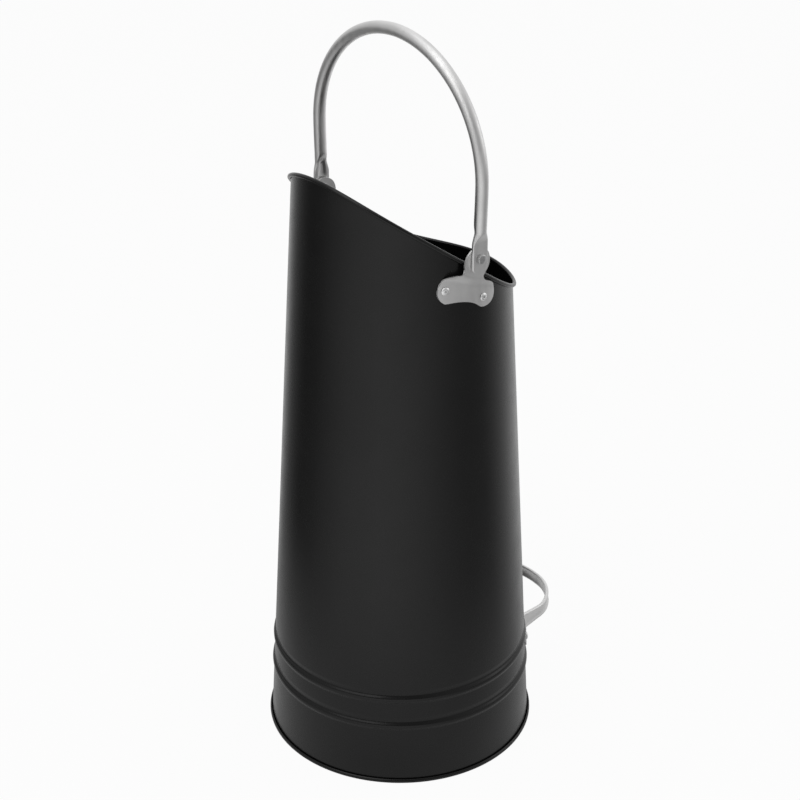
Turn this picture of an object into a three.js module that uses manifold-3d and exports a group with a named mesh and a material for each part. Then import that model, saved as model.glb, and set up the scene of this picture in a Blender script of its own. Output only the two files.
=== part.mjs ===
// Tall round coal scuttle: a tapered sheet-steel body with a sloping mouth, a tubular bail
// on two riveted ears, and a low strap handle at the back for tipping.
// Millimetres, +Z up. The origin is on the body's axis, on the floor.
// The pouring lip points to -X, the rear handle to +X, and the bail turns about Y.

import * as THREE from 'three';
import { mergeVertices } from 'three/addons/utils/BufferGeometryUtils.js';
import Module from 'manifold-3d';

const wasm = await Module();
wasm.setup();

// ---- Driving dimensions ---------------------------------------------------

const COLUMNS = 48; // facets round the body
const GAP = 0.3; // clearance between pieces that touch

// Body: a cone frustum in thin sheet
const FOOT_RADIUS = 118.1; // outer radius of the wall at the floor
const TAPER = 0.0551; // radius lost per millimetre of height
const SHEET = 0.7;
const WALL_FOOT = 1.3; // the wall's lower edge stands in the base seam
const STRETCH_FROM = 110; // above this height the wall reaches up to the mouth

// Mouth: height of the rim against the angle from the pouring lip
const RIM_MEAN = 479.5;
const RIM_WAVES = [61.5, 6.5, -2.0, 1.4]; // cosine terms of one to four waves

// Rolled rim round a stiffening wire
const CURL_RADIUS = 1.75;
const CURL_CENTRE = CURL_RADIUS - SHEET; // from the wall's outer face
const WIRE_RADIUS = CURL_RADIUS - SHEET - GAP;

// Two swages pressed outward low on the wall, each with a shallow groove above it
const SWAGE_HEIGHTS = [57.8, 84.9];
const SWAGE_PROFILE = [[-4.4, 0], [-1.5, 1.7], [1.5, 1.7], [4.6, -0.5], [9.5, 0]];

// Base: a recessed disc whose edge is rolled up round the wall's lower edge
const SEAM_RADIUS = 120.2;
const SEAM_HEIGHT = 4.9;
const FLOOR_PLATE_Z = 3.0; // underside of the disc
const FLOOR_PLATE = 0.8;

// Ears: formed plates, two rivets each. The lower plate leans with the slope of the mouth,
// and the rivets, the neck and the top lobe sit a little forward of its middle.
const PIVOT_X = -2.6;
const PIVOT_HEIGHT = 487.9;
const EAR_SHEET = 1.5;
const EAR_TILT = THREE.MathUtils.degToRad(18.4);
const EAR_MIDDLE_X = -8.9;
const EAR_MIDDLE_HEIGHT = 457.1;
const EAR_LOBE_SPREAD = 17.8;
const EAR_LOBE_RADIUS = 11.1;
const EAR_FORWARD = -3.5;
const EAR_TOP_UP = 29.5;
const EAR_TOP_RADIUS = 13.6;
const EAR_NECK = 10.9; // half width
const EAR_NECK_UP = 18;
const EAR_RIVET_SPREAD = 19.1;
const EAR_RIVET_UP = [0.2, -1.9]; // front and rear
const EAR_JOGGLE = [9, 13.8]; // the plate steps out over the rolled rim between these

// Blind rivets
const RIVET_SHANK = 1.9;
const RIVET_HOLE = 2.2;
const RIVET_HEAD = 3.6;
const RIVET_TAIL = 2.9;

// Bail: round tube, flattened at both ends and riveted to the ears
const TUBE_RADIUS = 5.3;
const FLAT_THICKNESS = 2.8;
const FLAT_WIDTH = 15.8;
const FLAT_BELOW = 11; // reach of the flat below the pivot
const FLAT_TOP = 14; // height above the pivot where the tube starts to open
const TUBE_FROM = 30; // height above the pivot where the tube is round
const DISH_TOP = 25; // the side against the ear is pressed further up, to pass over the ear
const DISH_FADE = 42;
const BAIL_RISE = 163; // pivot to the middle of the tube at the crown
const BAIL_HALF_WIDTH = 99.4;
const BAIL_SHOULDER = 62; // where the straight legs meet the arch
const PIVOT_SHANK = 2.5;
const PIVOT_HOLE = 2.8;
const PIVOT_HEAD = 4.4;

// Rear handle: a bowed strap with rolled edges, level, between the two swages
const HANDLE_Z = 72.2;
const STRAP_HEIGHT = 12.4;
const STRAP_WEB = 1.3;
const STRAP_BEAD = 1.6; // radius of the rolled edges
const HANDLE_REACH = 165.3; // from the body's axis to the middle of the strap
const HANDLE_BAR = 10.5; // half length of the nearly straight bar
const HANDLE_CORNER = [146, 50]; // where bar and arm would meet
const FOOT_ANGLE = THREE.MathUtils.degToRad(28.6); // where the arm meets the wall
const PAD_ANGLE = THREE.MathUtils.degToRad(42.5); // where the riveted pad ends
const PAD_RIVETS = [33.6, 39.2].map(THREE.MathUtils.degToRad);

// ---- Finishes -------------------------------------------------------------

const finish = (color, roughness, metalness) => () =>
  new THREE.MeshStandardMaterial({ color, roughness, metalness });
const blackPaint = finish(0x202020, 0.5, 0.1);
const darkWire = finish(0x3a3a3a, 0.6, 0.6);
const pewterSteel = finish(0x9a9a98, 0.42, 0.75);
const brightRivet = finish(0xc4c4c2, 0.3, 0.85);

// ---- Helpers --------------------------------------------------------------

const wallRadius = (z) => FOOT_RADIUS - TAPER * z;

const rimHeight = (angle) =>
  RIM_WAVES.reduce((z, size, i) => z + size * Math.cos((i + 1) * angle), RIM_MEAN);

const rimSlope = (angle) =>
  RIM_WAVES.reduce((s, size, i) => s - (i + 1) * size * Math.sin((i + 1) * angle), 0);

function closedSolid(geometry) {
  const bare = geometry.index ? geometry : geometry.clone();
  bare.deleteAttribute('normal');
  bare.deleteAttribute('uv');
  const merged = mergeVertices(bare, 1e-4);
  return new wasm.Manifold(new wasm.Mesh({
    numProp: 3,
    vertProperties: new Float32Array(merged.attributes.position.array),
    triVerts: new Uint32Array(merged.index.array),
  }));
}

function toGeometry(solid) {
  const { vertProperties, triVerts } = solid.getMesh();
  const geometry = new THREE.BufferGeometry();
  geometry.setAttribute('position', new THREE.BufferAttribute(new Float32Array(vertProperties), 3));
  geometry.setIndex(new THREE.BufferAttribute(new Uint32Array(triVerts), 1));
  geometry.computeVertexNormals();
  return geometry;
}

function cut(geometry, tools) {
  const solid = tools.reduce((rest, tool) => rest.subtract(closedSolid(tool)), closedSolid(geometry));
  return toGeometry(solid);
}

// A revolved shape with its axis along Z; its facets start at the same angle on every piece.
function revolve(outline, segments) {
  const points = outline.map(([r, z]) => new THREE.Vector2(r, z));
  return new THREE.LatheGeometry(points, segments).rotateX(Math.PI / 2);
}

// A skin over rings of points. Each ring runs up one side and down the other,
// so that strips between its two sides close the ends.
function loft(rings) {
  const count = rings[0].length;
  const index = [];
  for (let i = 0; i + 1 < rings.length; i += 1) {
    for (let j = 0; j < count; j += 1) {
      const a = i * count + j;
      const b = i * count + ((j + 1) % count);
      index.push(a, b, b + count, a, b + count, a + count);
    }
  }
  const end = (rings.length - 1) * count;
  for (let j = 0; j + 1 < count / 2; j += 1) {
    const k = count - 1 - j;
    index.push(j, k - 1, j + 1, j, k, k - 1);
    index.push(end + j, end + j + 1, end + k - 1, end + j, end + k - 1, end + k);
  }
  const positions = rings.flat().flatMap((p) => [p.x, p.y, p.z]);
  const geometry = new THREE.BufferGeometry();
  geometry.setAttribute('position', new THREE.Float32BufferAttribute(positions, 3));
  geometry.setIndex(index);
  return geometry;
}

// A hole cutter or a rivet laid along the wall's normal at an angle and height.
function onWall(geometry, angle, z) {
  const radius = wallRadius(z);
  geometry.rotateY(Math.PI / 2);
  geometry.rotateZ(angle);
  return geometry.translate(radius * Math.cos(angle), radius * Math.sin(angle), z);
}

function roundHole(radius, length) {
  return new THREE.CylinderGeometry(radius, radius, length, 10).rotateX(Math.PI / 2);
}

const scuttle = new THREE.Group();

function add(name, geometry, material) {
  geometry.computeVertexNormals();
  const mesh = new THREE.Mesh(geometry, material());
  mesh.name = name;
  scuttle.add(mesh);
  return mesh;
}

// ---- Body -----------------------------------------------------------------

// Points are (offset from the wall's outer face, height on a level mouth).
// This lays them on the cone, with the top following the sloping mouth.
function bendToMouth(profile) {
  const far = FOOT_RADIUS;
  const geometry = revolve(profile.map(([offset, z]) => [far + offset, z]), COLUMNS);
  const p = geometry.attributes.position;
  for (let i = 0; i < p.count; i += 1) {
    const offset = Math.hypot(p.getX(i), p.getY(i)) - far;
    const turn = Math.atan2(p.getY(i), p.getX(i));
    const angle = Math.PI - turn;
    const level = p.getZ(i);
    const rim = rimHeight(angle);
    let z = level;
    if (level > RIM_MEAN - CURL_RADIUS - 1) {
      const steep = Math.atan(rimSlope(angle) / wallRadius(rim));
      z = rim + (level - RIM_MEAN) / Math.cos(steep);
    } else if (level > STRETCH_FROM) {
      z = STRETCH_FROM + (level - STRETCH_FROM) * (rim - STRETCH_FROM) / (RIM_MEAN - STRETCH_FROM);
    }
    const radius = wallRadius(z) + offset;
    p.setXYZ(i, radius * Math.cos(turn), radius * Math.sin(turn), z);
  }
  return geometry;
}

function curlArc(radius, degrees) {
  return degrees.map(THREE.MathUtils.degToRad).map((a) =>
    [CURL_CENTRE + radius * Math.cos(a), RIM_MEAN + radius * Math.sin(a)]);
}

function bodyShell() {
  const swages = SWAGE_HEIGHTS.flatMap((z) => SWAGE_PROFILE.map(([dz, out]) => [out, z + dz]));
  const sweep = [180, 140, 100, 60, 20, -20, -55, -88, -120];
  const outer = [[0, WALL_FOOT], ...swages, [0, STRETCH_FROM]];
  const inner = outer.map(([out, z]) => [out - SHEET, z]).reverse();
  const lip = [
    ...curlArc(CURL_RADIUS - SHEET, sweep),
    ...curlArc(CURL_RADIUS, [...sweep].reverse()),
  ];
  const profile = [...outer, ...lip, ...inner];
  return bendToMouth([...profile, profile[0]]);
}

function rimWire() {
  const around = [0, 60, 120, 180, 240, 300, 360];
  return bendToMouth(curlArc(WIRE_RADIUS, around));
}

function basePlate() {
  const legOut = wallRadius(0) - SHEET - GAP - 0.3;
  const leg = legOut - FLOOR_PLATE;
  const channel = wallRadius(0) + GAP + 0.1;
  const channelFloor = WALL_FOOT - GAP;
  const top = FLOOR_PLATE_Z + FLOOR_PLATE;
  return revolve([
    [0, FLOOR_PLATE_Z], [leg - 2.6, FLOOR_PLATE_Z], [leg - 0.7, 2.0], [leg, 0.5], [leg + 0.6, 0],
    [SEAM_RADIUS - 0.8, 0], [SEAM_RADIUS, 0.8], [SEAM_RADIUS, SEAM_HEIGHT - 0.9],
    [SEAM_RADIUS - 0.7, SEAM_HEIGHT], [channel + 0.4, SEAM_HEIGHT], [channel, SEAM_HEIGHT - 0.6],
    [channel, channelFloor], [legOut, channelFloor], [legOut, 2.2], [leg - 1.6, top], [0, top],
  ], COLUMNS);
}

// ---- Rivets ---------------------------------------------------------------

// A blind rivet along Z: domed head with its centre hole outside, upset tail inside.
function blindRivet(tailFace, headFace) {
  return revolve([
    [0, tailFace - 3], [1.6, tailFace - 2.8], [RIVET_TAIL, tailFace - 1.4], [RIVET_TAIL, tailFace - 0.4],
    [RIVET_SHANK, tailFace], [RIVET_SHANK, headFace], [RIVET_HEAD, headFace],
    [RIVET_HEAD - 0.5, headFace + 0.8], [1.7, headFace + 1.4], [1.0, headFace + 1.3],
    [0.9, headFace + 0.3], [0, headFace + 0.3],
  ], 12);
}

const rivetHead = GAP + EAR_SHEET + GAP;

function wallRivet(name, angle, z, seat) {
  add(name, onWall(blindRivet(-SHEET - GAP, seat), angle, z), brightRivet);
}

// ---- Ears -----------------------------------------------------------------

const LOBE_FACE = wallRadius(rimHeight(Math.PI / 2)) + CURL_CENTRE + CURL_RADIUS + GAP;
const BAIL_FACE = LOBE_FACE + EAR_SHEET + GAP;

// Ear coordinates (u along the lower rivets, v up the neck) to the ear's place, seen square on.
function earPoint(u, v) {
  const c = Math.cos(EAR_TILT);
  const s = Math.sin(EAR_TILT);
  return { x: EAR_MIDDLE_X + u * c + v * s, z: EAR_MIDDLE_HEIGHT - u * s + v * c };
}

// Distance from the mid-plane to the ear's back face, lower plate on the wall, top lobe flat.
function earBack(u, v) {
  const { x, z } = earPoint(u, v);
  const onCone = Math.sqrt((wallRadius(z) + GAP) ** 2 - x * x);
  return THREE.MathUtils.lerp(onCone, LOBE_FACE, THREE.MathUtils.smoothstep(v, ...EAR_JOGGLE));
}

function earOutline() {
  const rad = THREE.MathUtils.degToRad;
  const shape = new THREE.Shape();
  const lobeTop = EAR_LOBE_RADIUS + 0.5;
  const rear = EAR_FORWARD + EAR_NECK;
  const front = EAR_FORWARD - EAR_NECK;
  shape.absarc(EAR_LOBE_SPREAD, 0, EAR_LOBE_RADIUS, rad(-80), rad(93), false);
  shape.quadraticCurveTo(rear + 2.4, lobeTop, rear + 0.4, EAR_NECK_UP);
  shape.absarc(EAR_FORWARD, EAR_TOP_UP, EAR_TOP_RADIUS, rad(-33), rad(213), false);
  shape.lineTo(front + 0.4, EAR_NECK_UP);
  shape.quadraticCurveTo(front - 0.6, lobeTop, -EAR_LOBE_SPREAD - 4.1, EAR_LOBE_RADIUS - 0.8);
  shape.absarc(-EAR_LOBE_SPREAD, 0, EAR_LOBE_RADIUS, rad(112), rad(260), false);
  shape.quadraticCurveTo(0, -EAR_LOBE_RADIUS + 4.5, EAR_LOBE_SPREAD + 1.9, -EAR_LOBE_RADIUS + 0.2);
  return shape;
}

// The formed sheet, wider than the ear, made of strips that step out at the joggle.
function formedSheet() {
  const [low, high] = EAR_JOGGLE;
  const rows = [-16, -5, 5, low, (2 * low + high) / 3, (low + 2 * high) / 3, high, 48];
  const columns = [-32, -26, -20, -14, -8, 0, 8, 14, 20, 26, 32];
  const point = (u, v, depth) => {
    const { x, z } = earPoint(u, v);
    return new THREE.Vector3(x, -(earBack(u, v) + depth), z);
  };
  const rings = columns.map((u) => [
    ...rows.map((v) => point(u, v, 0)),
    ...[...rows].reverse().map((v) => point(u, v, EAR_SHEET)),
  ]);
  return loft(rings);
}

// Where each lower rivet goes through: angle round the body and height.
function earRivetPlaces() {
  return EAR_RIVET_UP.map((up, i) => {
    const { x, z } = earPoint(EAR_FORWARD + [-1, 1][i] * EAR_RIVET_SPREAD, up);
    return { angle: -Math.acos(x / wallRadius(z)), z };
  });
}

function nearEar() {
  const blank = new THREE.ExtrudeGeometry(earOutline(), {
    depth: 60, bevelEnabled: false, curveSegments: 12,
  });
  blank.rotateX(Math.PI / 2);
  blank.rotateY(EAR_TILT);
  blank.translate(EAR_MIDDLE_X, -60, EAR_MIDDLE_HEIGHT);
  const formed = closedSolid(formedSheet()).intersect(closedSolid(blank));
  const pivot = new THREE.CylinderGeometry(PIVOT_HOLE, PIVOT_HOLE, 30, 14).translate(0, -LOBE_FACE, 0);
  pivot.translate(PIVOT_X, 0, PIVOT_HEIGHT);
  const holes = earRivetPlaces().map(({ angle, z }) => onWall(roundHole(RIVET_HOLE, 12), angle, z));
  const solid = [pivot, ...holes].reduce((rest, tool) => rest.subtract(closedSolid(tool)), formed);
  return toGeometry(solid);
}

// The same piece on the other side of the body.
function mirrored(geometry) {
  const copy = geometry.clone();
  const p = copy.attributes.position;
  for (let i = 0; i < p.count; i += 1) {
    p.setY(i, -p.getY(i));
  }
  const index = copy.index.array;
  for (let i = 0; i < index.length; i += 3) {
    [index[i], index[i + 1]] = [index[i + 1], index[i]];
  }
  return copy;
}

// ---- Bail -----------------------------------------------------------------

// Half-width of the bail against the height above its pivots.
function bailPath() {
  const points = [];
  const flatMiddle = BAIL_FACE + FLAT_THICKNESS / 2;
  const legs = [-FLAT_BELOW, -FLAT_BELOW + 1.2, -FLAT_BELOW + 4, 0, 8, FLAT_TOP, 18, 22, DISH_TOP, TUBE_FROM, 36, DISH_FADE, 50];
  legs.forEach((up) => {
    const lean = THREE.MathUtils.smoothstep(up, FLAT_TOP, BAIL_SHOULDER);
    points.push({ out: THREE.MathUtils.lerp(flatMiddle, BAIL_HALF_WIDTH, lean), up });
  });
  const steps = 12;
  for (let i = 0; i <= steps; i += 1) {
    const a = (i / steps) * Math.PI / 2;
    const rise = (BAIL_RISE - BAIL_SHOULDER) * Math.sin(a);
    points.push({ out: BAIL_HALF_WIDTH * Math.cos(a), up: BAIL_SHOULDER + rise });
  }
  const other = points.slice(0, -1).reverse().map(({ out, up }) => ({ out: -out, up }));
  return [...points, ...other];
}

// Half sizes of the tube's section: round above, pressed flat at the pivots, and flat for longer
// on the side that lies against the ear.
function bailSection(up) {
  const round = THREE.MathUtils.smoothstep(up, FLAT_TOP, TUBE_FROM);
  const tip = Math.min(1, (up + FLAT_BELOW) / 4);
  const nose = 0.66 + 0.34 * Math.sqrt(Math.max(0, 1 - (1 - tip) ** 2));
  return {
    thick: THREE.MathUtils.lerp(FLAT_THICKNESS / 2, TUBE_RADIUS, round),
    dished: THREE.MathUtils.lerp(
      FLAT_THICKNESS / 2,
      TUBE_RADIUS,
      THREE.MathUtils.smoothstep(up, DISH_TOP, DISH_FADE),
    ),
    wide: THREE.MathUtils.lerp(FLAT_WIDTH / 2, TUBE_RADIUS, round) * nose,
    square: 1 - round,
  };
}

function bailHandle() {
  const sides = 14;
  const path = bailPath();
  const rings = path.map((point, i) => {
    const before = path[Math.max(i - 1, 0)];
    const after = path[Math.min(i + 1, path.length - 1)];
    const way = new THREE.Vector2(after.out - before.out, after.up - before.up).normalize();
    const { thick, dished, wide, square } = bailSection(point.up);
    return Array.from({ length: sides }, (_, k) => {
      const a = (k / sides) * 2 * Math.PI;
      const power = THREE.MathUtils.lerp(1, 0.45, square);
      const bulge = (t) => Math.sign(t) * Math.abs(t) ** power;
      const x = PIVOT_X + wide * bulge(Math.sin(a));
      const across = (Math.cos(a) > 0 ? thick : dished) * bulge(Math.cos(a));
      return new THREE.Vector3(x, -(point.out + across * way.y), PIVOT_HEIGHT + point.up - across * way.x);
    });
  });
  const holes = [-1, 1].map((side) => {
    const hole = new THREE.CylinderGeometry(PIVOT_HOLE, PIVOT_HOLE, 20, 14);
    return hole.translate(PIVOT_X, side * BAIL_FACE, PIVOT_HEIGHT);
  });
  return cut(loft(rings), holes);
}

// Round-headed rivet that joins the bail's flat to the ear, its head outside.
function pivotRivet() {
  const inner = LOBE_FACE - GAP;
  const outer = BAIL_FACE + FLAT_THICKNESS + GAP;
  const geometry = revolve([
    [0, inner - 2.4], [2.6, inner - 2.2], [4.0, inner - 1.2], [4.0, inner], [PIVOT_SHANK, inner],
    [PIVOT_SHANK, outer], [PIVOT_HEAD, outer], [PIVOT_HEAD, outer + 1.2], [PIVOT_HEAD - 1.1, outer + 2.2],
    [0, outer + 2.7],
  ], 14);
  return geometry.rotateX(Math.PI / 2).translate(PIVOT_X, 0, PIVOT_HEIGHT);
}

// ---- Rear handle ----------------------------------------------------------

// Middle line of the strap seen from above, from the middle of the bar to one pad's end.
function handlePath() {
  const padRadius = wallRadius(HANDLE_Z) + GAP + STRAP_WEB / 2;
  const foot = new THREE.Vector2(Math.cos(FOOT_ANGLE), Math.sin(FOOT_ANGLE)).multiplyScalar(padRadius);
  const corner = new THREE.Vector2(...HANDLE_CORNER);
  const armEnd = corner.clone().lerp(foot, 0.42);
  const armFoot = corner.clone().lerp(foot, 0.84);
  const padStart = FOOT_ANGLE + THREE.MathUtils.degToRad(2.2);
  const onPad = (angle) => new THREE.Vector2(Math.cos(angle), Math.sin(angle)).multiplyScalar(padRadius);
  const bow = new THREE.QuadraticBezierCurve(
    new THREE.Vector2(HANDLE_REACH, 0), new THREE.Vector2(HANDLE_REACH, HANDLE_BAR / 2),
    new THREE.Vector2(HANDLE_REACH - 0.8, HANDLE_BAR));
  const bend = new THREE.CubicBezierCurve(
    new THREE.Vector2(HANDLE_REACH - 0.8, HANDLE_BAR),
    new THREE.Vector2(HANDLE_REACH - 2.6, HANDLE_BAR + 23),
    corner.clone().lerp(armEnd, 0.25), armEnd);
  const heel = new THREE.QuadraticBezierCurve(armFoot, foot.clone().multiplyScalar(1.004), onPad(padStart));
  const points = [...bow.getPoints(2), ...bend.getPoints(9).slice(1), ...heel.getPoints(5)];
  for (let i = 1; i <= 5; i += 1) {
    points.push(onPad(THREE.MathUtils.lerp(padStart, PAD_ANGLE, i / 5)));
  }
  return { points, pad: points.length - 6 };
}

// The strap's section: a web between two rolled edges, which are pressed flat on the pads.
function strapSection(bead, half) {
  const web = STRAP_WEB / 2;
  const bar = half - bead;
  const edge = (sign, angles) => angles.map(THREE.MathUtils.degToRad).map((a) =>
    [bead * Math.cos(a), sign * bar + bead * Math.sin(a)]);
  const root = Math.max(bar - bead - 0.6, 0.5);
  return [
    ...edge(-1, [270, 330, 25]), [web, -root], [web, root], ...edge(1, [-25, 30, 90, 150, 205]),
    [-web, root], [-web, -root], ...edge(-1, [155, 210]),
  ];
}

function rearHandle() {
  const { points, pad } = handlePath();
  const ringAt = (i, side) => {
    const point = points[i];
    const before = points[Math.max(i - 1, 0)];
    const after = points[Math.min(i + 1, points.length - 1)];
    const way = after.clone().sub(before).normalize();
    const out = new THREE.Vector2(way.y, -way.x);
    const flat = THREE.MathUtils.smoothstep(i, pad - 5, pad);
    const bead = THREE.MathUtils.lerp(STRAP_BEAD, STRAP_WEB / 2 + 0.02, flat);
    const rest = points.length - 1 - i;
    const half = (STRAP_HEIGHT / 2) * (i > pad ? [0.62, 0.92, 1][Math.min(rest, 2)] : 1);
    return strapSection(bead, half).map(([n, h]) => {
      const shift = out.clone().multiplyScalar(n - TAPER * h);
      return new THREE.Vector3(point.x + shift.x, side * (point.y + shift.y), HANDLE_Z + h);
    });
  };
  const middleOut = points.map((_, i) => ringAt(i, 1));
  const otherSide = points.map((_, i) => ringAt(i, -1)).slice(1).reverse();
  const holes = [-1, 1].flatMap((side) => PAD_RIVETS.map((angle) =>
    onWall(roundHole(RIVET_HOLE, 10), side * angle, HANDLE_Z)));
  return cut(loft([...otherSide, ...middleOut].reverse()), holes);
}

// ---- Assembly -------------------------------------------------------------

const earRivets = earRivetPlaces();
const wallHoles = [-1, 1].flatMap((side) => [
  ...earRivets.map(({ angle, z }) => onWall(roundHole(RIVET_HOLE, 10), side * -angle, z)),
  ...PAD_RIVETS.map((angle) => onWall(roundHole(RIVET_HOLE, 10), side * angle, HANDLE_Z)),
]);

add('body_shell', cut(bodyShell(), wallHoles), blackPaint);
add('rim_wire', toGeometry(closedSolid(rimWire())), darkWire);
add('base_plate', toGeometry(closedSolid(basePlate())), blackPaint);

const ear = nearEar();
add('ear_left', ear, pewterSteel);
add('ear_right', mirrored(ear), pewterSteel);

earRivets.forEach(({ angle, z }, i) => {
  const place = ['front', 'rear'][i];
  wallRivet(`ear_left_rivet_${place}`, angle, z, rivetHead);
  wallRivet(`ear_right_rivet_${place}`, -angle, z, rivetHead);
});

add('bail_handle', bailHandle(), pewterSteel);
add('pivot_rivet_left', pivotRivet(), brightRivet);
add('pivot_rivet_right', mirrored(toGeometry(closedSolid(pivotRivet()))), brightRivet);

add('rear_handle', rearHandle(), pewterSteel);
const padHead = GAP + STRAP_WEB + GAP;
PAD_RIVETS.forEach((angle, i) => {
  const place = ['inner', 'outer'][i];
  wallRivet(`rear_handle_left_rivet_${place}`, -angle, HANDLE_Z, padHead);
  wallRivet(`rear_handle_right_rivet_${place}`, angle, HANDLE_Z, padHead);
});

export default scuttle;
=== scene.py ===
import math

import bmesh
import bpy
from mathutils import Matrix, Vector


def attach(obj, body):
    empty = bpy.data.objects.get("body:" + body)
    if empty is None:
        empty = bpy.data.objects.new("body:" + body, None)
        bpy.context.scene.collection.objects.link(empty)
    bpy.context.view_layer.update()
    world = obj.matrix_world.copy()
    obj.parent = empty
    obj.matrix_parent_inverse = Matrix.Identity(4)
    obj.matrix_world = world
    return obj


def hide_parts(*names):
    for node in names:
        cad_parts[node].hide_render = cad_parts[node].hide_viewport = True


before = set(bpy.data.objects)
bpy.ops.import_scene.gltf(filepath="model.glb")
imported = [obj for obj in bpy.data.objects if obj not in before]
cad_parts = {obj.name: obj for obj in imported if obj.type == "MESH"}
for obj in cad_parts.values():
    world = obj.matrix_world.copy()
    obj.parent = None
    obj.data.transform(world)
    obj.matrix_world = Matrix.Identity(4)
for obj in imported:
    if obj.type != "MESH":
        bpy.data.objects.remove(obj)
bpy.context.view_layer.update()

MM = 0.001
rad = math.radians

# ---- Camera: the photograph's viewpoint ---------------------------------------------------

IMAGE_SIZE = 800
CAMERA_AZIMUTH = rad(-41.46)
CAMERA_PITCH = rad(28.25)
CAMERA_ROLL = rad(0.02)
CAMERA_DISTANCE = 1.6403      # level distance from the body's axis
CAMERA_HEIGHT = 1.2010
FOCAL_PIXELS = 2162.7
SENSOR = 36.0

# ---- The object's dimensions --------------------------------------------------------------

FOOT_RADIUS = 118.1 * MM
TAPER = 0.0551
SHEET = 0.7 * MM
WALL_FOOT = 1.3 * MM
STRETCH_FROM = 110 * MM
RIM_MEAN = 479.5 * MM
RIM_WAVES = [61.5 * MM, 6.5 * MM, -2.0 * MM, 1.4 * MM]
CURL_RADIUS = 1.75 * MM
CURL_CENTRE = CURL_RADIUS - SHEET
CURL_END = -120               # degrees round the curl's centre, from straight outward
RIM_BAND = CURL_RADIUS + MM   # this much of the wall follows the rim's slope
SWAGE_HEIGHTS = [57.8 * MM, 84.9 * MM]
# (mm above the swage's middle, mm off the wall)
SWAGE_SHAPE = [(-3.6, 0.0), (-1.2, 1.3), (0.0, 1.45), (1.2, 1.3), (5.2, -0.5), (9.8, 0.0)]
SEAM_RADIUS = 120.2 * MM
SEAM_HEIGHT = 3.9 * MM        # the base's folded bead, a millimetre lower than the CAD model's
PLATE_Z = 3.0 * MM
PLATE_SHEET = 0.8 * MM

RIVET_SHANK = 1.9 * MM
RIVET_HEAD = 3.6 * MM         # radius
RIVET_DOME = 1.4 * MM
STEM_HOLE = 0.7 * MM
TAIL_RADIUS = 2.9 * MM
TAIL_LENGTH = 3.0 * MM

GAP = 0.3 * MM
PIVOT_X = -2.6 * MM
PIVOT_HEIGHT = 487.9 * MM
EAR_SHEET = 1.5 * MM
EAR_TILT = rad(18.4)
EAR_MIDDLE = Vector((-8.9 * MM, 457.1 * MM))
REAR_LOBE = (15.8 * MM, 0.0)
REAR_LOBE_ABOVE = (13.1 * MM, 12.1 * MM)      # radii across and up
REAR_LOBE_BELOW = (13.1 * MM, 10.1 * MM)
FRONT_LOBE = (-17.8 * MM, 0.0)
FRONT_LOBE_ABOVE = (11.3 * MM, 14.8 * MM)
FRONT_LOBE_BELOW = (11.1 * MM, 11.1 * MM)
EAR_FORWARD = -3.5 * MM
EAR_TOP = (-2.7 * MM, 26.6 * MM)
EAR_TOP_RADIUS = 13.5 * MM
EAR_NECK = 10.9 * MM
NECK_SHIFT = 0.4 * MM
REAR_NECK_UP = 17 * MM
FRONT_NECK_UP = 18 * MM
REAR_FILLET = (1.4 * MM, 12.4 * MM)           # past the neck's edge, and up
FRONT_FILLET = (-0.2 * MM, 14.5 * MM)
EAR_DIP = (1.2 * MM, -3.2 * MM)               # pulls the lower edge up between the lobes
EAR_EDGE = 0.35 * MM
EAR_RIVET_SPREAD = 19.1 * MM
EAR_RIVET_UP = [0.2 * MM, -1.9 * MM]
EAR_JOGGLE = (5.5 * MM, 15 * MM)
FRONT_HELD = 2.5 * MM         # the front lobe follows the wall this much further up,
HELD_FADE = (-20 * MM, 0.0)   # fading out towards the ear's middle

TUBE_RADIUS = 5.3 * MM
FLAT_THICKNESS = 2.8 * MM
FLAT_WIDTH = 15.8 * MM
FLAT_BELOW = 11 * MM
FLAT_NOSE = 0.66              # the flat's lower end is rounded off to this share of its width
NOSE_LENGTH = 4 * MM
FLAT_TOP = 14 * MM
RAMP = (12 * MM, 27 * MM)
DISH_RAMP = (23 * MM, 34 * MM)    # the side against the ear is pressed further up
CREASE = 1.3 * MM                 # and sunk along its middle
CREASE_START = (1 * MM, 8 * MM)
CREASE_STOP = (21 * MM, 25 * MM)
CREASE_SPAN = (0.15, 0.6)         # shares of the half width between which the crease fades out
PRESS_BLEND = 0.5 * MM            # rounding where the dies' faces meet the tube
BAIL_RISE = 163 * MM
BAIL_HALF_WIDTH = 99.4 * MM
BAIL_SHOULDER = 62 * MM

PIVOT_SHANK = 2.5 * MM
PIVOT_HEAD = 4.15 * MM        # radius
PIVOT_DOME = 2.7 * MM

HANDLE_Z = 72.2 * MM
STRAP_HEIGHT = 12.4 * MM
STRAP_WEB = 1.3 * MM
STRAP_BEAD = 1.6 * MM
PAD_SPREAD = 1.32             # the pads are flattened out wider than the strap
HANDLE_REACH = 165.0 * MM
HANDLE_BAR = 10.5 * MM        # half the length of the nearly straight grip
HANDLE_BOW = 0.8 * MM         # its ends lie this much nearer the body
HANDLE_SWING = (-2.6 * MM, 23 * MM)   # where the curve past the grip heads for, from its end
HANDLE_CORNER = Vector((146 * MM, 50 * MM))
FOOT_ANGLE = rad(28.6)
PAD_ANGLE = rad(42.5)
PAD_LEAD = rad(2.2)           # the strap lies on the wall from here on
PAD_RIVETS = [rad(33.6), rad(39.2)]
ARM_STRAIGHT = (0.42, 0.84)   # shares of the way from the corner to the foot
STRAP_END = 0.6               # the pad's end is rounded off to this share of its height

COLUMNS = 240                 # faces round the body
RIVET_SIDES = 36
PIVOT_SIDES = 48
TUBE_SIDES = 56


# ---- Small helpers ------------------------------------------------------------------------

def lerp(a, b, t):
    return a + (b - a) * t


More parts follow.
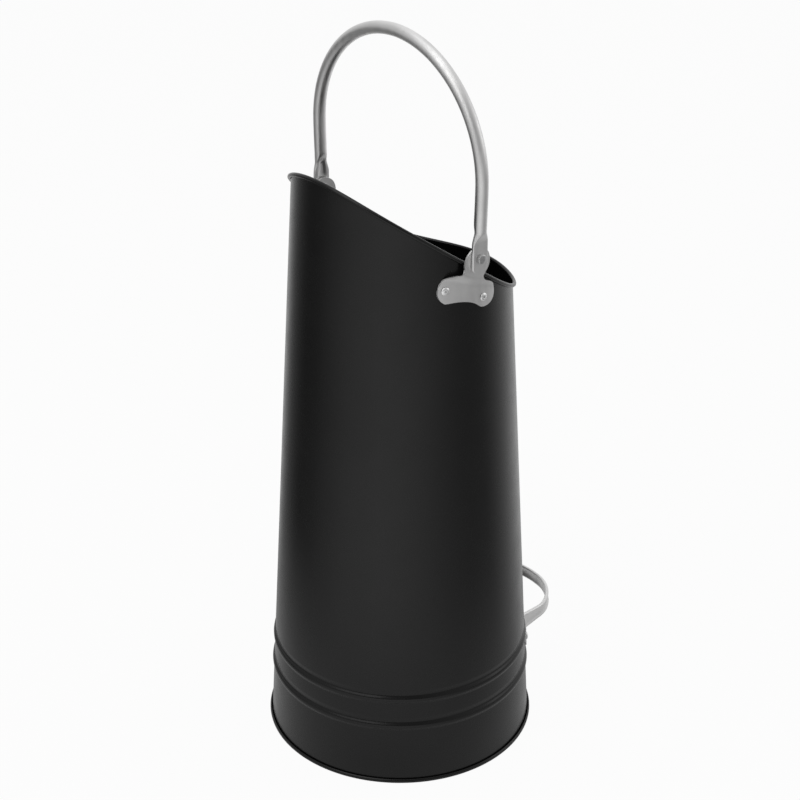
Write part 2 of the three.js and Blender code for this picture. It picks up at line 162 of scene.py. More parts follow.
def smoothstep(x, low, high):
    t = min(max((x - low) / (high - low), 0.0), 1.0)
    return t * t * (3 - 2 * t)


def spaced(low, high, count):
    return [lerp(low, high, i / count) for i in range(count + 1)]


def wall_radius(z):
    return FOOT_RADIUS - TAPER * z


def rim_height(angle):
    return RIM_MEAN + sum(size * math.cos((i + 1) * angle) for i, size in enumerate(RIM_WAVES))


def rim_slope(angle):
    return -sum((i + 1) * size * math.sin((i + 1) * angle) for i, size in enumerate(RIM_WAVES))


def skin(rings, closed=False):
    """A mesh over rings of points; closed joins the last ring to the first."""
    bm = bmesh.new()
    rows = [[bm.verts.new(p) for p in ring] for ring in rings]
    count = len(rows[0])
    pairs = list(zip(rows, rows[1:])) + ([(rows[-1], rows[0])] if closed else [])
    for row, following in pairs:
        for j in range(count):
            k = (j + 1) % count
            bm.faces.new((row[j], row[k], following[k], following[j]))
    if not closed:
        bm.faces.new(list(reversed(rows[0])))
        bm.faces.new(rows[-1])
    return bm


def revolve(outline, segments):
    """A closed shape of revolution about Z from (radius, height) points that start and end on it."""
    bm = bmesh.new()
    inner = outline[1:-1]
    rows = []
    for i in range(segments):
        a = 2 * math.pi * i / segments
        rows.append([bm.verts.new((r * math.cos(a), r * math.sin(a), z)) for r, z in inner])
    first = bm.verts.new((0, 0, outline[0][1]))
    last = bm.verts.new((0, 0, outline[-1][1]))
    for i in range(segments):
        row, following = rows[i], rows[(i + 1) % segments]
        bm.faces.new((first, following[0], row[0]))
        for j in range(len(inner) - 1):
            bm.faces.new((row[j], following[j], following[j + 1], row[j + 1]))
        bm.faces.new((row[-1], following[-1], last))
    return bm


def rounded(outline, radius, steps):
    """The outline with each inner corner turned into a small arc of points."""
    points = [Vector(outline[0])]
    for before, corner, after in zip(outline, outline[1:], outline[2:]):
        before, corner, after = Vector(before), Vector(corner), Vector(after)
        reach = min(radius, (before - corner).length * 0.45, (after - corner).length * 0.45)
        start = corner + (before - corner).normalized() * reach
        stop = corner + (after - corner).normalized() * reach
        for i in range(steps + 1):
            t = i / steps
            points.append(start.lerp(corner, t).lerp(corner.lerp(stop, t), t))
    points.append(Vector(outline[-1]))
    return [(p.x, p.y) for p in points]


def piece(name, bm, material, node, body="hod", sharp=40):
    """Turn a bmesh into a piece that stands for a CAD node; edges past sharp degrees stay sharp."""
    bmesh.ops.recalc_face_normals(bm, faces=bm.faces)
    for edge in bm.edges:
        edge.smooth = not (edge.is_manifold and edge.calc_face_angle(0) > rad(sharp))
    for face in bm.faces:
        face.smooth = True
    mesh = bpy.data.meshes.new(name)
    bm.to_mesh(mesh)
    bm.free()
    mesh.materials.append(material)
    obj = bpy.data.objects.new(name, mesh)
    bpy.context.scene.collection.objects.link(obj)
    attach(obj, body)
    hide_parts(node)
    return obj


def mirror_y(bm):
    copy = bm.copy()
    for vert in copy.verts:
        vert.co.y = -vert.co.y
    bmesh.ops.reverse_faces(copy, faces=copy.faces)
    return copy


# ---- Materials ----------------------------------------------------------------------------

def node_material(name):
    material = bpy.data.materials.new(name)
    material.use_nodes = True
    tree = material.node_tree
    shader = tree.nodes["Principled BSDF"]
    place = tree.nodes.new("ShaderNodeTexCoord").outputs["Object"]
    return material, tree, shader, place


def noise(tree, place, scale, detail, stretch=None):
    node = tree.nodes.new("ShaderNodeTexNoise")
    node.inputs["Scale"].default_value = scale
    node.inputs["Detail"].default_value = detail
    if stretch:
        mapping = tree.nodes.new("ShaderNodeMapping")
        mapping.inputs["Scale"].default_value = stretch
        tree.links.new(place, mapping.inputs["Vector"])
        place = mapping.outputs["Vector"]
    tree.links.new(place, node.inputs["Vector"])
    return node.outputs["Fac"]


def ramp(tree, value, stops):
    node = tree.nodes.new("ShaderNodeValToRGB")
    elements = node.color_ramp.elements
    while len(elements) < len(stops):
        elements.new(0.5)
    for element, (position, colour) in zip(elements, stops):
        element.position = position
        element.color = (*colour, 1.0)
    tree.links.new(value, node.inputs["Fac"])
    return node.outputs["Color"]


def spread(tree, value, low, high, start=0.3, stop=0.7):
    node = tree.nodes.new("ShaderNodeMapRange")
    node.inputs["From Min"].default_value = start
    node.inputs["From Max"].default_value = stop
    node.inputs["To Min"].default_value = low
    node.inputs["To Max"].default_value = high
    tree.links.new(value, node.inputs["Value"])
    return node.outputs["Result"]


def bump(tree, value, strength, distance, normal=None):
    node = tree.nodes.new("ShaderNodeBump")
    node.inputs["Strength"].default_value = strength
    node.inputs["Distance"].default_value = distance
    tree.links.new(value, node.inputs["Height"])
    if normal:
        tree.links.new(normal, node.inputs["Normal"])
    return node.outputs["Normal"]


def grey(value, warm=0.0):
    return (value * (1 + warm), value, value * (1 - warm))


def black_paint():
    """Satin black powder coat: fine orange peel, a little uneven in sheen."""
    material, tree, shader, place = node_material("black_powder_coat")
    clouds = noise(tree, place, 14, 4)
    tone = ramp(tree, clouds, [(0.3, grey(0.0035)), (0.7, grey(0.0055))])
    tree.links.new(tone, shader.inputs["Base Color"])
    sheen = noise(tree, place, 60, 3)
    tree.links.new(spread(tree, sheen, 0.24, 0.29), shader.inputs["Roughness"])
    peel = bump(tree, noise(tree, place, 900, 2), 0.10, 0.0004)
    grain = bump(tree, noise(tree, place, 4200, 1), 0.06, 0.0001, peel)
    tree.links.new(grain, shader.inputs["Normal"])
    shader.inputs["Specular IOR Level"].default_value = 0.36
    return material


def pewter_steel():
    """Satin pewter-grey plated steel with faint upright marks and a soft mottle."""
    material, tree, shader, place = node_material("pewter_steel")
    mottle = noise(tree, place, 45, 5)
    tone = ramp(tree, mottle, [(0.3, grey(0.75, 0.004)), (0.7, grey(0.83, 0.004))])
    tree.links.new(tone, shader.inputs["Base Color"])
    marks = noise(tree, place, 260, 3, stretch=(1, 1, 0.12))
    tree.links.new(spread(tree, marks, 0.40, 0.50), shader.inputs["Roughness"])
    shader.inputs["Metallic"].default_value = 1.0
    fine = bump(tree, noise(tree, place, 800, 2), 0.012, 0.0002)
    dents = bump(tree, noise(tree, place, 70, 2), 0.03, 0.0012, fine)
    tree.links.new(dents, shader.inputs["Normal"])
    return material


def bright_rivet():
    """Bright aluminium rivet, lightly scuffed by the setting tool."""
    material, tree, shader, place = node_material("bright_rivet")
    scuff = noise(tree, place, 700, 4)
    tone = ramp(tree, scuff, [(0.35, grey(0.92)), (0.65, grey(0.98))])
    tree.links.new(tone, shader.inputs["Base Color"])
    tree.links.new(spread(tree, scuff, 0.30, 0.40), shader.inputs["Roughness"])
    shader.inputs["Metallic"].default_value = 1.0
    grain = bump(tree, noise(tree, place, 1500, 2), 0.06, 0.0002)
    tree.links.new(grain, shader.inputs["Normal"])
    return material


def pivot_steel():
    """Plain steel pin head, greyer than the blind rivets."""
    material, tree, shader, place = node_material("pivot_steel")
    scuff = noise(tree, place, 500, 4)
    tone = ramp(tree, scuff, [(0.35, grey(0.50)), (0.65, grey(0.60))])
    tree.links.new(tone, shader.inputs["Base Color"])
    tree.links.new(spread(tree, scuff, 0.28, 0.38), shader.inputs["Roughness"])
    shader.inputs["Metallic"].default_value = 1.0
    tree.links.new(bump(tree, scuff, 0.03, 0.0002), shader.inputs["Normal"])
    return material


def plain_wire():
    """Drawn steel wire, dull and slightly oxidised."""
    material, tree, shader, place = node_material("drawn_wire")
    stain = noise(tree, place, 300, 4)
    tone = ramp(tree, stain, [(0.3, grey(0.16, 0.05)), (0.7, grey(0.30, 0.02))])
    tree.links.new(tone, shader.inputs["Base Color"])
    tree.links.new(spread(tree, stain, 0.4, 0.6), shader.inputs["Roughness"])
    shader.inputs["Metallic"].default_value = 1.0
    tree.links.new(bump(tree, stain, 0.2, 0.0002), shader.inputs["Normal"])
    return material


BLACK = black_paint()
PEWTER = pewter_steel()
RIVET = bright_rivet()
PIN = pivot_steel()
WIRE = plain_wire()


# ---- Body ---------------------------------------------------------------------------------

def on_mouth(offset, level, turn):
    """A wall point from its offset off the outer face, its height on a level mouth and its angle."""
    angle = math.pi - turn
    rim = rim_height(angle)
    if level > RIM_MEAN - RIM_BAND:
        steep = math.atan(rim_slope(angle) / wall_radius(rim))
        z = rim + (level - RIM_MEAN) / math.cos(steep)
    elif level > STRETCH_FROM:
        z = STRETCH_FROM + (level - STRETCH_FROM) * (rim - STRETCH_FROM) / (RIM_MEAN - STRETCH_FROM)
    else:
        z = level
    radius = wall_radius(z) + offset
    return (radius * math.cos(turn), radius * math.sin(turn), z)


def swage_offset(z):
    for centre in SWAGE_HEIGHTS:
        dz = (z - centre) / MM
        for (low, a), (high, b) in zip(SWAGE_SHAPE, SWAGE_SHAPE[1:]):
            if low <= dz <= high:
                return lerp(a, b, smoothstep(dz, low, high)) * MM
    return 0.0


def curl_arc(radius, start, stop, steps):
    angles = [rad(a) for a in spaced(start, stop, steps)]
    return [(CURL_CENTRE + radius * math.cos(a), RIM_MEAN + radius * math.sin(a)) for a in angles]


def body_shell():
    """One profile of wall, swages and curled rim, swept round the axis along the mouth's wave."""
    foot_top = WALL_FOOT + 42 * MM
    swages_from, swages_to = SWAGE_HEIGHTS[0] - 5 * MM, SWAGE_HEIGHTS[1] + 10 * MM
    swage_row = 0.55 * MM
    wall_top = RIM_MEAN - 10 * MM
    heights = spaced(WALL_FOOT, foot_top, 7)
    heights += spaced(swages_from, swages_to, int((swages_to - swages_from) / swage_row))
    heights += spaced(STRETCH_FROM, wall_top, 30)
    outer = [(swage_offset(z), z) for z in heights]
    inner = [(out - SHEET, z) for out, z in reversed(outer)]
    lip = curl_arc(CURL_RADIUS - SHEET, 180, CURL_END, 20) + curl_arc(CURL_RADIUS, CURL_END, 180, 22)
    profile = outer + lip + inner
    turns = [2 * math.pi * i / COLUMNS for i in range(COLUMNS)]
    return skin([[on_mouth(out, z, turn) for out, z in profile] for turn in turns], closed=True)


def base_plate():
    """The recessed pan: down to the floor, out under the wall and up round it in a folded bead."""
    leg_out = wall_radius(0) - SHEET - GAP - 0.3 * MM
    leg = leg_out - PLATE_SHEET
    channel = wall_radius(0) + GAP + 0.1 * MM
    floor = WALL_FOOT - GAP
    top = PLATE_Z + PLATE_SHEET
    corner = 0.9 * MM
    step = [(0, PLATE_Z), (leg - 2.6 * MM, PLATE_Z), (leg - 0.7 * MM, 2.0 * MM), (leg, 0.5 * MM)]
    bead = [
        (leg + 0.6 * MM, 0), (SEAM_RADIUS - corner, 0), (SEAM_RADIUS, corner),
        (SEAM_RADIUS, SEAM_HEIGHT - 1.1 * MM), (SEAM_RADIUS - corner, SEAM_HEIGHT),
        (channel + 0.3 * MM, SEAM_HEIGHT), (channel, SEAM_HEIGHT - 0.5 * MM), (channel, floor),
    ]
    inside = [(leg_out, floor), (leg_out, 2.2 * MM), (leg - 1.6 * MM, top), (0, top)]
    return revolve(rounded(step + bead + inside, 0.5 * MM, 3), COLUMNS)


piece("shell_sheet", body_shell(), BLACK, "body_shell")
piece("base_pan", base_plate(), BLACK, "base_plate")
bpy.data.objects["rim_wire"].data.materials.clear()
bpy.data.objects["rim_wire"].data.materials.append(WIRE)


# ---- Rivets -------------------------------------------------------------------------------

def blind_rivet(tail_face, head_face):
    """Along Z: domed head with its stem hole, shank, and upset tail at the other end."""
    tail = [
        (0, tail_face - TAIL_LENGTH), (1.5 * MM, tail_face - TAIL_LENGTH + 0.1 * MM),
        (TAIL_RADIUS, tail_face - 1.6 * MM), (TAIL_RADIUS, tail_face - 0.4 * MM),
        (RIVET_SHANK, tail_face),
    ]
    head = [
        (RIVET_SHANK, head_face), (RIVET_HEAD, head_face),
        (RIVET_HEAD - 0.1 * MM, head_face + 0.45 * MM), (2.6 * MM, head_face + 1.15 * MM),
        (1.2 * MM, head_face + RIVET_DOME), (STEM_HOLE + 0.1 * MM, head_face + RIVET_DOME - 0.1 * MM),
        (STEM_HOLE, head_face - 0.8 * MM), (0, head_face - 0.9 * MM),
    ]
    return revolve(rounded(tail + head, 0.35 * MM, 3), RIVET_SIDES)


def on_wall(bm, angle, z):
    """Lay a shape made along Z on the wall's outward normal."""
    r = wall_radius(z)
    place = Matrix.Translation((r * math.cos(angle), r * math.sin(angle), z))
    bm.transform(place @ Matrix.Rotation(angle, 4, "Z") @ Matrix.Rotation(math.pi / 2, 4, "Y"))
    return bm


def ear_point(u, v):
    """Ear coordinates to (x, z), seen square on."""
    c, s = math.cos(EAR_TILT), math.sin(EAR_TILT)
    return EAR_MIDDLE.x + u * c + v * s, EAR_MIDDLE.y - u * s + v * c


def ear_rivet_places():
    places = []
    for sign, up in zip((-1, 1), EAR_RIVET_UP):
        x, z = ear_point(EAR_FORWARD + sign * EAR_RIVET_SPREAD, up)
        places.append((-math.acos(x / wall_radius(z)), z))
    return places


for label, (angle, z) in zip(("front", "rear"), ear_rivet_places()):
    for side, sign in (("left", 1), ("right", -1)):
        rivet = blind_rivet(-SHEET - GAP, 2 * GAP + EAR_SHEET)
        name = f"ear_{side}_rivet_{label}"
        piece(f"set_{name}", on_wall(rivet, sign * angle, z), RIVET, name)

for label, angle in zip(("inner", "outer"), PAD_RIVETS):
    for side, sign in (("left", -1), ("right", 1)):
        rivet = blind_rivet(-SHEET - GAP, 2 * GAP + STRAP_WEB)
        name = f"rear_handle_{side}_rivet_{label}"
        piece(f"set_{name}", on_wall(rivet, sign * angle, HANDLE_Z), RIVET, name)


# ---- Ears ---------------------------------------------------------------------------------

LOBE_FACE = wall_radius(rim_height(math.pi / 2)) + CURL_CENTRE + CURL_RADIUS + GAP
BAIL_FACE = LOBE_FACE + EAR_SHEET + GAP


def ear_back(u, v):
    x, z = ear_point(u, v)
    on_cone = math.sqrt((wall_radius(z) + GAP) ** 2 - x * x)
    held = FRONT_HELD * (1 - smoothstep(u, *HELD_FADE))
    return lerp(on_cone, LOBE_FACE, smoothstep(v - held, *EAR_JOGGLE))


def oval(centre, radii, start, stop, steps):
    across, up = radii
    angles = [rad(a) for a in spaced(start, stop, steps)]
    return [Vector((centre[0] + across * math.cos(a), centre[1] + up * math.sin(a))) for a in angles]


def bend(start, control, stop, steps):
    """Points along a curve from start to stop that heads for the control point, without its ends."""
    start, control, stop = Vector(start), Vector(control), Vector(stop)
    return [start.lerp(control, i / steps).lerp(control.lerp(stop, i / steps), i / steps)
            for i in range(1, steps)]


def ear_outline():
    """Round the ear: rear lobe, neck, round top, neck, front lobe, and the dip back to the rear lobe."""
    rear, front = EAR_FORWARD + EAR_NECK, EAR_FORWARD - EAR_NECK
    rear_neck = Vector((rear + NECK_SHIFT, REAR_NECK_UP))
    front_neck = Vector((front + NECK_SHIFT, FRONT_NECK_UP))
    rear_fillet = (rear + REAR_FILLET[0], REAR_FILLET[1])
    front_fillet = (front + FRONT_FILLET[0], FRONT_FILLET[1])
    points = oval(REAR_LOBE, REAR_LOBE_BELOW, -96, 0, 22)[:-1]
    points += oval(REAR_LOBE, REAR_LOBE_ABOVE, 0, 88, 18)
    points += bend(points[-1], rear_fillet, rear_neck, 12) + [rear_neck]
    points += oval(EAR_TOP, (EAR_TOP_RADIUS, EAR_TOP_RADIUS), -33, 213, 60)
    lobe = oval(FRONT_LOBE, FRONT_LOBE_ABOVE, 95, 180, 18)[:-1]
    lobe += oval(FRONT_LOBE, FRONT_LOBE_BELOW, 180, 260, 18)
    points += [front_neck] + bend(front_neck, front_fillet, lobe[0], 12) + lobe
    return points + bend(points[-1], EAR_DIP, points[0], 20)


def ear():
    """A flat sheet with rounded edges, cut into a grid and laid on the cone and over the rim bead."""
    outline = ear_outline()
    bm = bmesh.new()
    low = [bm.verts.new((p.x, p.y, 0)) for p in outline]
    high = [bm.verts.new((p.x, p.y, EAR_SHEET)) for p in outline]
    count = len(outline)
    for i in range(count):
        k = (i + 1) % count
        bm.faces.new((low[i], low[k], high[k], high[i]))
    bm.faces.new(list(reversed(low)))
    bm.faces.new(high)
    rims = [e for e in bm.edges if abs(e.verts[0].co.z - e.verts[1].co.z) < 1e-9]
    bmesh.ops.bevel(bm, geom=rims, offset=EAR_EDGE, segments=3, profile=0.5, affect="EDGES",
                    clamp_overlap=True)
    bmesh.ops.triangulate(bm, faces=[f for f in bm.faces if len(f.verts) > 4])
    columns = range(-28, 29, 2)
    across_joggle = [9 + 0.4 * i for i in range(13)]
    levels = [-9, -6, -3, 0, 3, 6, 8] + across_joggle + [18, 24, 30, 36, 42]
    cuts = [(Vector((u * MM, 0, 0)), Vector((1, 0, 0))) for u in columns]
    cuts += [(Vector((0, v * MM, 0)), Vector((0, 1, 0))) for v in levels]
    for place, normal in cuts:
        everything = bm.verts[:] + bm.edges[:] + bm.faces[:]
        bmesh.ops.bisect_plane(bm, geom=everything, plane_co=place, plane_no=normal, dist=1e-7)
    for vert in bm.verts:
        u, v, depth = vert.co
        x, z = ear_point(u, v)
        vert.co = (x, -(ear_back(u, v) + depth), z)
    return bm


near_ear = ear()
piece("right_ear_plate", mirror_y(near_ear), PEWTER, "ear_right")
piece("left_ear_plate", near_ear, PEWTER, "ear_left")


# ---- Bail ---------------------------------------------------------------------------------

def bail_path():
    """Points (half width, height above the pivots), denser where the tube is pressed flat."""
    flat_middle = BAIL_FACE + FLAT_THICKNESS / 2
    nose_rows = [-FLAT_BELOW + t * MM for t in (0, 0.1, 0.3, 0.6, 1, 1.5, 2.2, 3, 4, 6, 8)]
    leg_start, leg_step = -2 * MM, 0.75 * MM
    leg_rows = [leg_start + i * leg_step for i in range(int((BAIL_SHOULDER + MM) / leg_step))]
    points = []
    for up in nose_rows + leg_rows:
        points.append((lerp(flat_middle, BAIL_HALF_WIDTH, smoothstep(up, FLAT_TOP, BAIL_SHOULDER)), up))
    for a in spaced(0, math.pi / 2, 60):
        rise = (BAIL_RISE - BAIL_SHOULDER) * math.sin(a)
        points.append((BAIL_HALF_WIDTH * math.cos(a), BAIL_SHOULDER + rise))
    return points + [(-out, up) for out, up in reversed(points[:-1])]


def soft_limit(value, limit, blend):
    """The value held within +-limit, rounded where it meets the limit."""
    excess = abs(value) - limit
    held = abs(value) - 0.5 * (excess + math.sqrt(excess * excess + blend * blend))
    return math.copysign(held, value)


def bail_section(up, sides):
    """The tube's section at a height above the pivots: round, or pressed between two dies."""
    opening = smoothstep(up, *RAMP)
    free = TUBE_RADIUS + 0.6 * MM
    outside = lerp(FLAT_THICKNESS / 2, free, opening)
    inside = lerp(FLAT_THICKNESS / 2, free, smoothstep(up, *DISH_RAMP))
    tip = min(1.0, (up + FLAT_BELOW) / NOSE_LENGTH)
    nose = lerp(FLAT_NOSE, 1, math.sqrt(max(0.0, 1 - (1 - tip) ** 2)))
    wide = lerp(FLAT_WIDTH / 2, TUBE_RADIUS, min(1.0, opening * 1.3)) * nose
    groove = CREASE * smoothstep(up, *CREASE_START) * (1 - smoothstep(up, *CREASE_STOP))
    ring = []
    for k in range(sides):
        a = 2 * math.pi * k / sides
        limit = outside if math.cos(a) > 0 else inside
        across = soft_limit(TUBE_RADIUS * math.cos(a), limit, PRESS_BLEND)
        if math.cos(a) < 0:
            across += groove * (1 - smoothstep(abs(math.sin(a)), *CREASE_SPAN))
        ring.append((across, wide * math.sin(a)))
    return ring


def bail():
    """The section swept along the path, with its flats against the ears."""
    path = bail_path()
    rings = []
    for i, (out, up) in enumerate(path):
        before, after = path[max(i - 1, 0)], path[min(i + 1, len(path) - 1)]
        way = Vector((after[0] - before[0], after[1] - before[1])).normalized()
        rings.append([(PIVOT_X + along, -(out + across * way.y), PIVOT_HEIGHT + up - across * way.x)
                      for across, along in bail_section(up, TUBE_SIDES)])
    return skin(rings)


piece("bail_tube", bail(), PEWTER, "bail_handle", body="bail", sharp=60)


def pivot_rivet():
    """Hollow tail inside the ear, shank through ear and bail, and an undercut head on the bail."""
    inner = LOBE_FACE - GAP
    outer = BAIL_FACE + FLAT_THICKNESS + GAP
    tail = [
        (0, inner + 0.4 * MM), (1.7 * MM, inner + 0.2 * MM), (1.9 * MM, inner - 1.9 * MM),
        (2.6 * MM, inner - 2.3 * MM), (3.7 * MM, inner - 1.3 * MM), (3.9 * MM, inner - 0.4 * MM),
    ]
    head = [
        (PIVOT_SHANK + 0.1 * MM, outer + 0.7 * MM), (PIVOT_HEAD - 0.25 * MM, outer + 1.0 * MM),
        (PIVOT_HEAD, outer + 1.7 * MM), (3.6 * MM, outer + 2.25 * MM),
        (1.8 * MM, outer + PIVOT_DOME - 0.1 * MM), (0, outer + PIVOT_DOME),
    ]
    shank = [(PIVOT_SHANK, inner), (PIVOT_SHANK, outer)]
    bm = revolve(rounded(tail + shank + head, 0.7 * MM, 4), PIVOT_SIDES)
    bm.transform(Matrix.Translation((PIVOT_X, 0, PIVOT_HEIGHT)) @ Matrix.Rotation(math.pi / 2, 4, "X"))
    return bm


near_pivot = pivot_rivet()
piece("right_pivot_head", mirror_y(near_pivot), PIN, "pivot_rivet_right")
piece("left_pivot_head", near_pivot, PIN, "pivot_rivet_left")


# ---- Rear handle --------------------------------------------------------------------------

def polar(angle, radius):
    return Vector((math.cos(angle) * radius, math.sin(angle) * radius))


def bezier(points, steps):
    """Points along a Bezier curve of any degree, without its first point."""
    result = []
    for i in range(1, steps + 1):
        level = list(points)
        while len(level) > 1:
            level = [a.lerp(b, i / steps) for a, b in zip(level, level[1:])]
        result.append(level[0])
    return result


def handle_path():
    """The strap's middle line on one side, from the grip's middle to the pad's end, and the row
    where the pad starts."""
    pad_radius = wall_radius(HANDLE_Z) + GAP + STRAP_WEB / 2
    foot = polar(FOOT_ANGLE, pad_radius)
    arm_start, arm_stop = (HANDLE_CORNER.lerp(foot, share) for share in ARM_STRAIGHT)
    pad_start = FOOT_ANGLE + PAD_LEAD
    middle = Vector((HANDLE_REACH, 0))
    bar_end = Vector((HANDLE_REACH - HANDLE_BOW, HANDLE_BAR))
    swing = Vector((HANDLE_REACH + HANDLE_SWING[0], HANDLE_BAR + HANDLE_SWING[1]))
    points = [middle] + bezier([middle, Vector((HANDLE_REACH, HANDLE_BAR / 2)), bar_end], 8)
    points += bezier([bar_end, swing, HANDLE_CORNER.lerp(arm_start, 0.25), arm_start], 28)
    points += [arm_start.lerp(arm_stop, i / 8) for i in range(1, 9)]
    points += bezier([arm_stop, foot * 1.004, polar(pad_start, pad_radius)], 12)
    pad = len(points) - 1
    points += [polar(angle, pad_radius) for angle in spaced(pad_start, PAD_ANGLE, 20)[1:]]
    return points, pad


def strap_section(bead, half):
    """Two rolled edges joined by a thin web: (outward, height) points, round the section."""
    web, bar = STRAP_WEB / 2, half - bead
    root = max(bar - bead - 0.6 * MM, 0.5 * MM)

    def edge(sign, start, stop, steps):
        angles = [rad(a) for a in spaced(start, stop, steps)]
        return [(bead * math.cos(a), sign * bar + bead * math.sin(a)) for a in angles]

    return ([(web, -root), (web, root)] + edge(1, -30, 210, 14)
            + [(-web, root), (-web, -root)] + edge(-1, 150, 390, 14))


def rear_handle():
    """The strap swept along its path; its beads flatten out and its web widens into the pads."""
    points, pad = handle_path()
    beads_from, widen_from, widen_to, round_rows = pad - 12, pad - 22, pad - 8, 6

    def ring(i, side):
        before, after = points[max(i - 1, 0)], points[min(i + 1, len(points) - 1)]
        way = (after - before).normalized()
        out = Vector((way.y, -way.x))
        bead = lerp(STRAP_BEAD, STRAP_WEB / 2 + 0.02 * MM, smoothstep(i, beads_from, pad))
        to_end = min((len(points) - 1 - i) / round_rows, 1)
        round_end = lerp(STRAP_END, 1, math.sqrt(1 - (1 - to_end) ** 2))
        spread_out = lerp(1, PAD_SPREAD, smoothstep(i, widen_from, widen_to))
        half = STRAP_HEIGHT / 2 * round_end * spread_out
        result = []
        for n, h in strap_section(bead, half):
            shift = out * (n - TAPER * h)
            result.append((points[i].x + shift.x, side * (points[i].y + shift.y), HANDLE_Z + h))
        return result

    near = [ring(i, 1) for i in range(len(points))]
    far = [ring(i, -1) for i in range(1, len(points))]
    return skin(list(reversed(far)) + near)


piece("rear_grip_strap", rear_handle(), PEWTER, "rear_handle", sharp=50)


# ---- Camera, light and stage --------------------------------------------------------------

# Painted reflections: how bright reflections see the floor and the studio, which glow with this in place
# of lit shading: (share of a turn about Z, brightness)
PAINTED_FLOOR_ROUND = [
    (0.0, 0.67), (0.01, 0.70), (0.08, 0.88), (0.135, 0.84), (0.19, 0.69), (0.246, 0.46),
    (0.30, 0.28), (0.37, 0.23), (0.43, 0.48), (0.50, 0.82), (0.565, 0.88), (0.635, 0.86),
    (0.705, 0.84), (0.775, 0.24), (0.845, 0.08), (0.90, 0.18), (0.955, 0.44), (1.0, 0.67),
]
PAINTED_WORLD_ROUND = [
    (0.0, 0.35), (0.08, 0.22), (0.19, 0.22), (0.28, 0.40), (0.37, 0.60), (0.48, 0.70),
    (0.60, 0.90), (0.72, 0.75), (0.85, 0.45), (0.93, 0.45), (1.0, 0.35),
]
PAINTED_FLOOR_NEAR = 0.55             # the painted reflection's brightness on the floor beside the object
FLOOR_FADE = (0.15, 0.5)      # distance from the axis over which PAINTED_FLOOR_ROUND takes over
FLOOR_HALF = 8.0
FLOOR_GREY = 0.82
FLOOR_WHITE = 0.95            # what the camera sees: this share of white, and the lit floor's shadow
WORLD_LIGHT = 0.4

# name, azimuth and elevation in degrees, distance and size in metres, power in watts
SOFTBOXES = [
    ("left_softbox", -78, 44, 2.0, (1.5, 1.8), 10),
    ("right_softbox", 55, 16, 2.2, (1.3, 0.9), 3.0),
    ("top_softbox", -40, 82, 2.0, (1.6, 1.6), 7),
]
LIT_MIDDLE = Vector((0, 0, 0.33))


def camera():
    data = bpy.data.cameras.new("camera")
    data.sensor_width = SENSOR
    data.lens = FOCAL_PIXELS / IMAGE_SIZE * SENSOR
    data.clip_end = 50
    obj = bpy.data.objects.new("camera", data)
    place = Vector((math.sin(CAMERA_AZIMUTH), -math.cos(CAMERA_AZIMUTH), 0)) * CAMERA_DISTANCE
    place.z = CAMERA_HEIGHT
    turn = (Matrix.Rotation(CAMERA_AZIMUTH, 4, "Z") @ Matrix.Rotation(math.pi / 2 - CAMERA_PITCH, 4, "X")
            @ Matrix.Rotation(CAMERA_ROLL, 4, "Z"))
    obj.matrix_world = Matrix.Translation(place) @ turn
    bpy.context.scene.collection.objects.link(obj)
    bpy.context.scene.camera = obj


def softbox(name, azimuth, elevation, distance, size, power):
    """A rectangular area light at a distance from the object's middle, facing it."""
    data = bpy.data.lights.new(name, "AREA")
    data.shape = "RECTANGLE"
    data.size, data.size_y = size
    data.energy = power
    obj = bpy.data.objects.new(name, data)
    a, e = rad(azimuth), rad(elevation)
    way = Vector((math.sin(a) * math.cos(e), -math.cos(a) * math.cos(e), math.sin(e)))
    obj.location = LIT_MIDDLE + way * distance
    obj.rotation_euler = way.to_track_quat("Z", "Y").to_euler()
    bpy.context.scene.collection.objects.link(obj)


def glow(tree, colour=None, strength=1.0):
    node = tree.nodes.new("ShaderNodeEmission")
    node.inputs["Strength"].default_value = strength
    if colour:
        tree.links.new(colour, node.inputs["Color"])
    return node.outputs[0]


def mixed(tree, factor, first, second):
    node = tree.nodes.new("ShaderNodeMixShader")
    tree.links.new(factor, node.inputs["Fac"])
    tree.links.new(first, node.inputs[1])
    tree.links.new(second, node.inputs[2])
    return node.outputs[0]


def seen_as(tree, lit, reflected, camera_share):
    """The lit shader, a painted reflection that glows where reflections see it, and a share of white for
    the camera.
    """
    path = tree.nodes.new("ShaderNodeLightPath")
    through = tree.nodes.new("ShaderNodeMath")
    through.operation = "MAXIMUM"
    tree.links.new(path.outputs["Is Glossy Ray"], through.inputs[0])
    tree.links.new(path.outputs["Is Transmission Ray"], through.inputs[1])
    share = tree.nodes.new("ShaderNodeMath")
    share.operation = "MULTIPLY"
    share.inputs[1].default_value = camera_share
    tree.links.new(path.outputs["Is Camera Ray"], share.inputs[0])
    return mixed(tree, share.outputs[0], mixed(tree, through.outputs[0], lit, reflected), glow(tree))


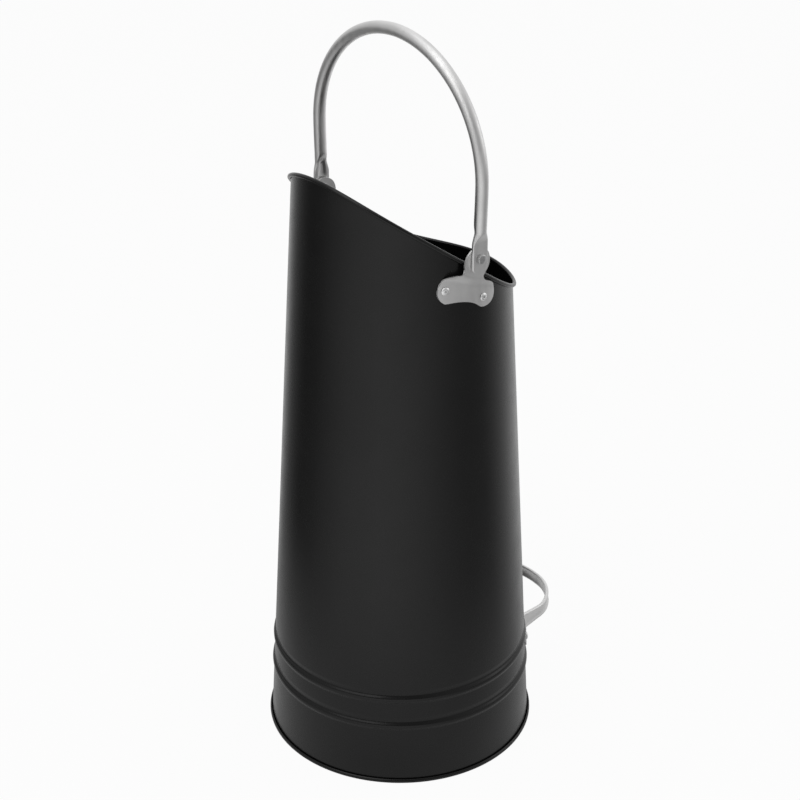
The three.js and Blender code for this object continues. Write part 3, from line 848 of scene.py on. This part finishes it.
def brightness_round(tree, coordinate, stops):
    """Brightness by the direction round Z."""
    place = tree.nodes.new("ShaderNodeTexCoord").outputs[coordinate]
    turn = tree.nodes.new("ShaderNodeTexGradient")
    turn.gradient_type = "RADIAL"
    tree.links.new(place, turn.inputs["Vector"])
    return place, ramp(tree, turn.outputs["Fac"], [(share, grey(light)) for share, light in stops])


def painted_floor_reflection(tree):
    """A painted reflection: the floor glows for reflections with a brightness that goes by direction,
    and is even near the object.
    """
    place, far = brightness_round(tree, "Object", PAINTED_FLOOR_ROUND)
    reach = tree.nodes.new("ShaderNodeVectorMath")
    reach.operation = "LENGTH"
    tree.links.new(place, reach.inputs[0])
    distance = spread(tree, reach.outputs["Value"], 0.0, 1.0, *FLOOR_FADE)
    return mixed(tree, distance, glow(tree, strength=PAINTED_FLOOR_NEAR), glow(tree, far))


def pale_floor():
    mesh = bpy.data.meshes.new("floor")
    corners = [(x * FLOOR_HALF, y * FLOOR_HALF, 0) for x, y in ((-1, -1), (1, -1), (1, 1), (-1, 1))]
    mesh.from_pydata(corners, [], [(0, 1, 2, 3)])
    floor = bpy.data.objects.new("floor", mesh)
    bpy.context.scene.collection.objects.link(floor)
    material = bpy.data.materials.new("pale_floor")
    material.use_nodes = True
    tree = material.node_tree
    shader = tree.nodes["Principled BSDF"]
    shader.inputs["Base Color"].default_value = (*grey(FLOOR_GREY), 1)
    shader.inputs["Roughness"].default_value = 0.9
    shader.inputs["Specular IOR Level"].default_value = 0.0
    out = tree.nodes["Material Output"]
    # reflections see the floor's painted reflection glow, the camera sees mostly plain white
    surface = seen_as(tree, shader.outputs[0], painted_floor_reflection(tree), FLOOR_WHITE)
    tree.links.new(surface, out.inputs["Surface"])
    mesh.materials.append(material)


def studio():
    world = bpy.data.worlds.new("studio")
    bpy.context.scene.world = world
    world.use_nodes = True
    tree = world.node_tree
    light = tree.nodes["Background"]
    light.inputs["Color"].default_value = (1, 1, 1, 1)
    light.inputs["Strength"].default_value = WORLD_LIGHT
    out = tree.nodes["World Output"]
    # painted reflection: reflections see the world glow with a brightness set by direction round Z
    reflected = glow(tree, brightness_round(tree, "Generated", PAINTED_WORLD_ROUND)[1])
    tree.links.new(seen_as(tree, light.outputs[0], reflected, 1.0), out.inputs["Surface"])


camera()
pale_floor()
studio()
for lamp in SOFTBOXES:
    softbox(*lamp)
bpy.context.scene.view_settings.view_transform = "Standard"
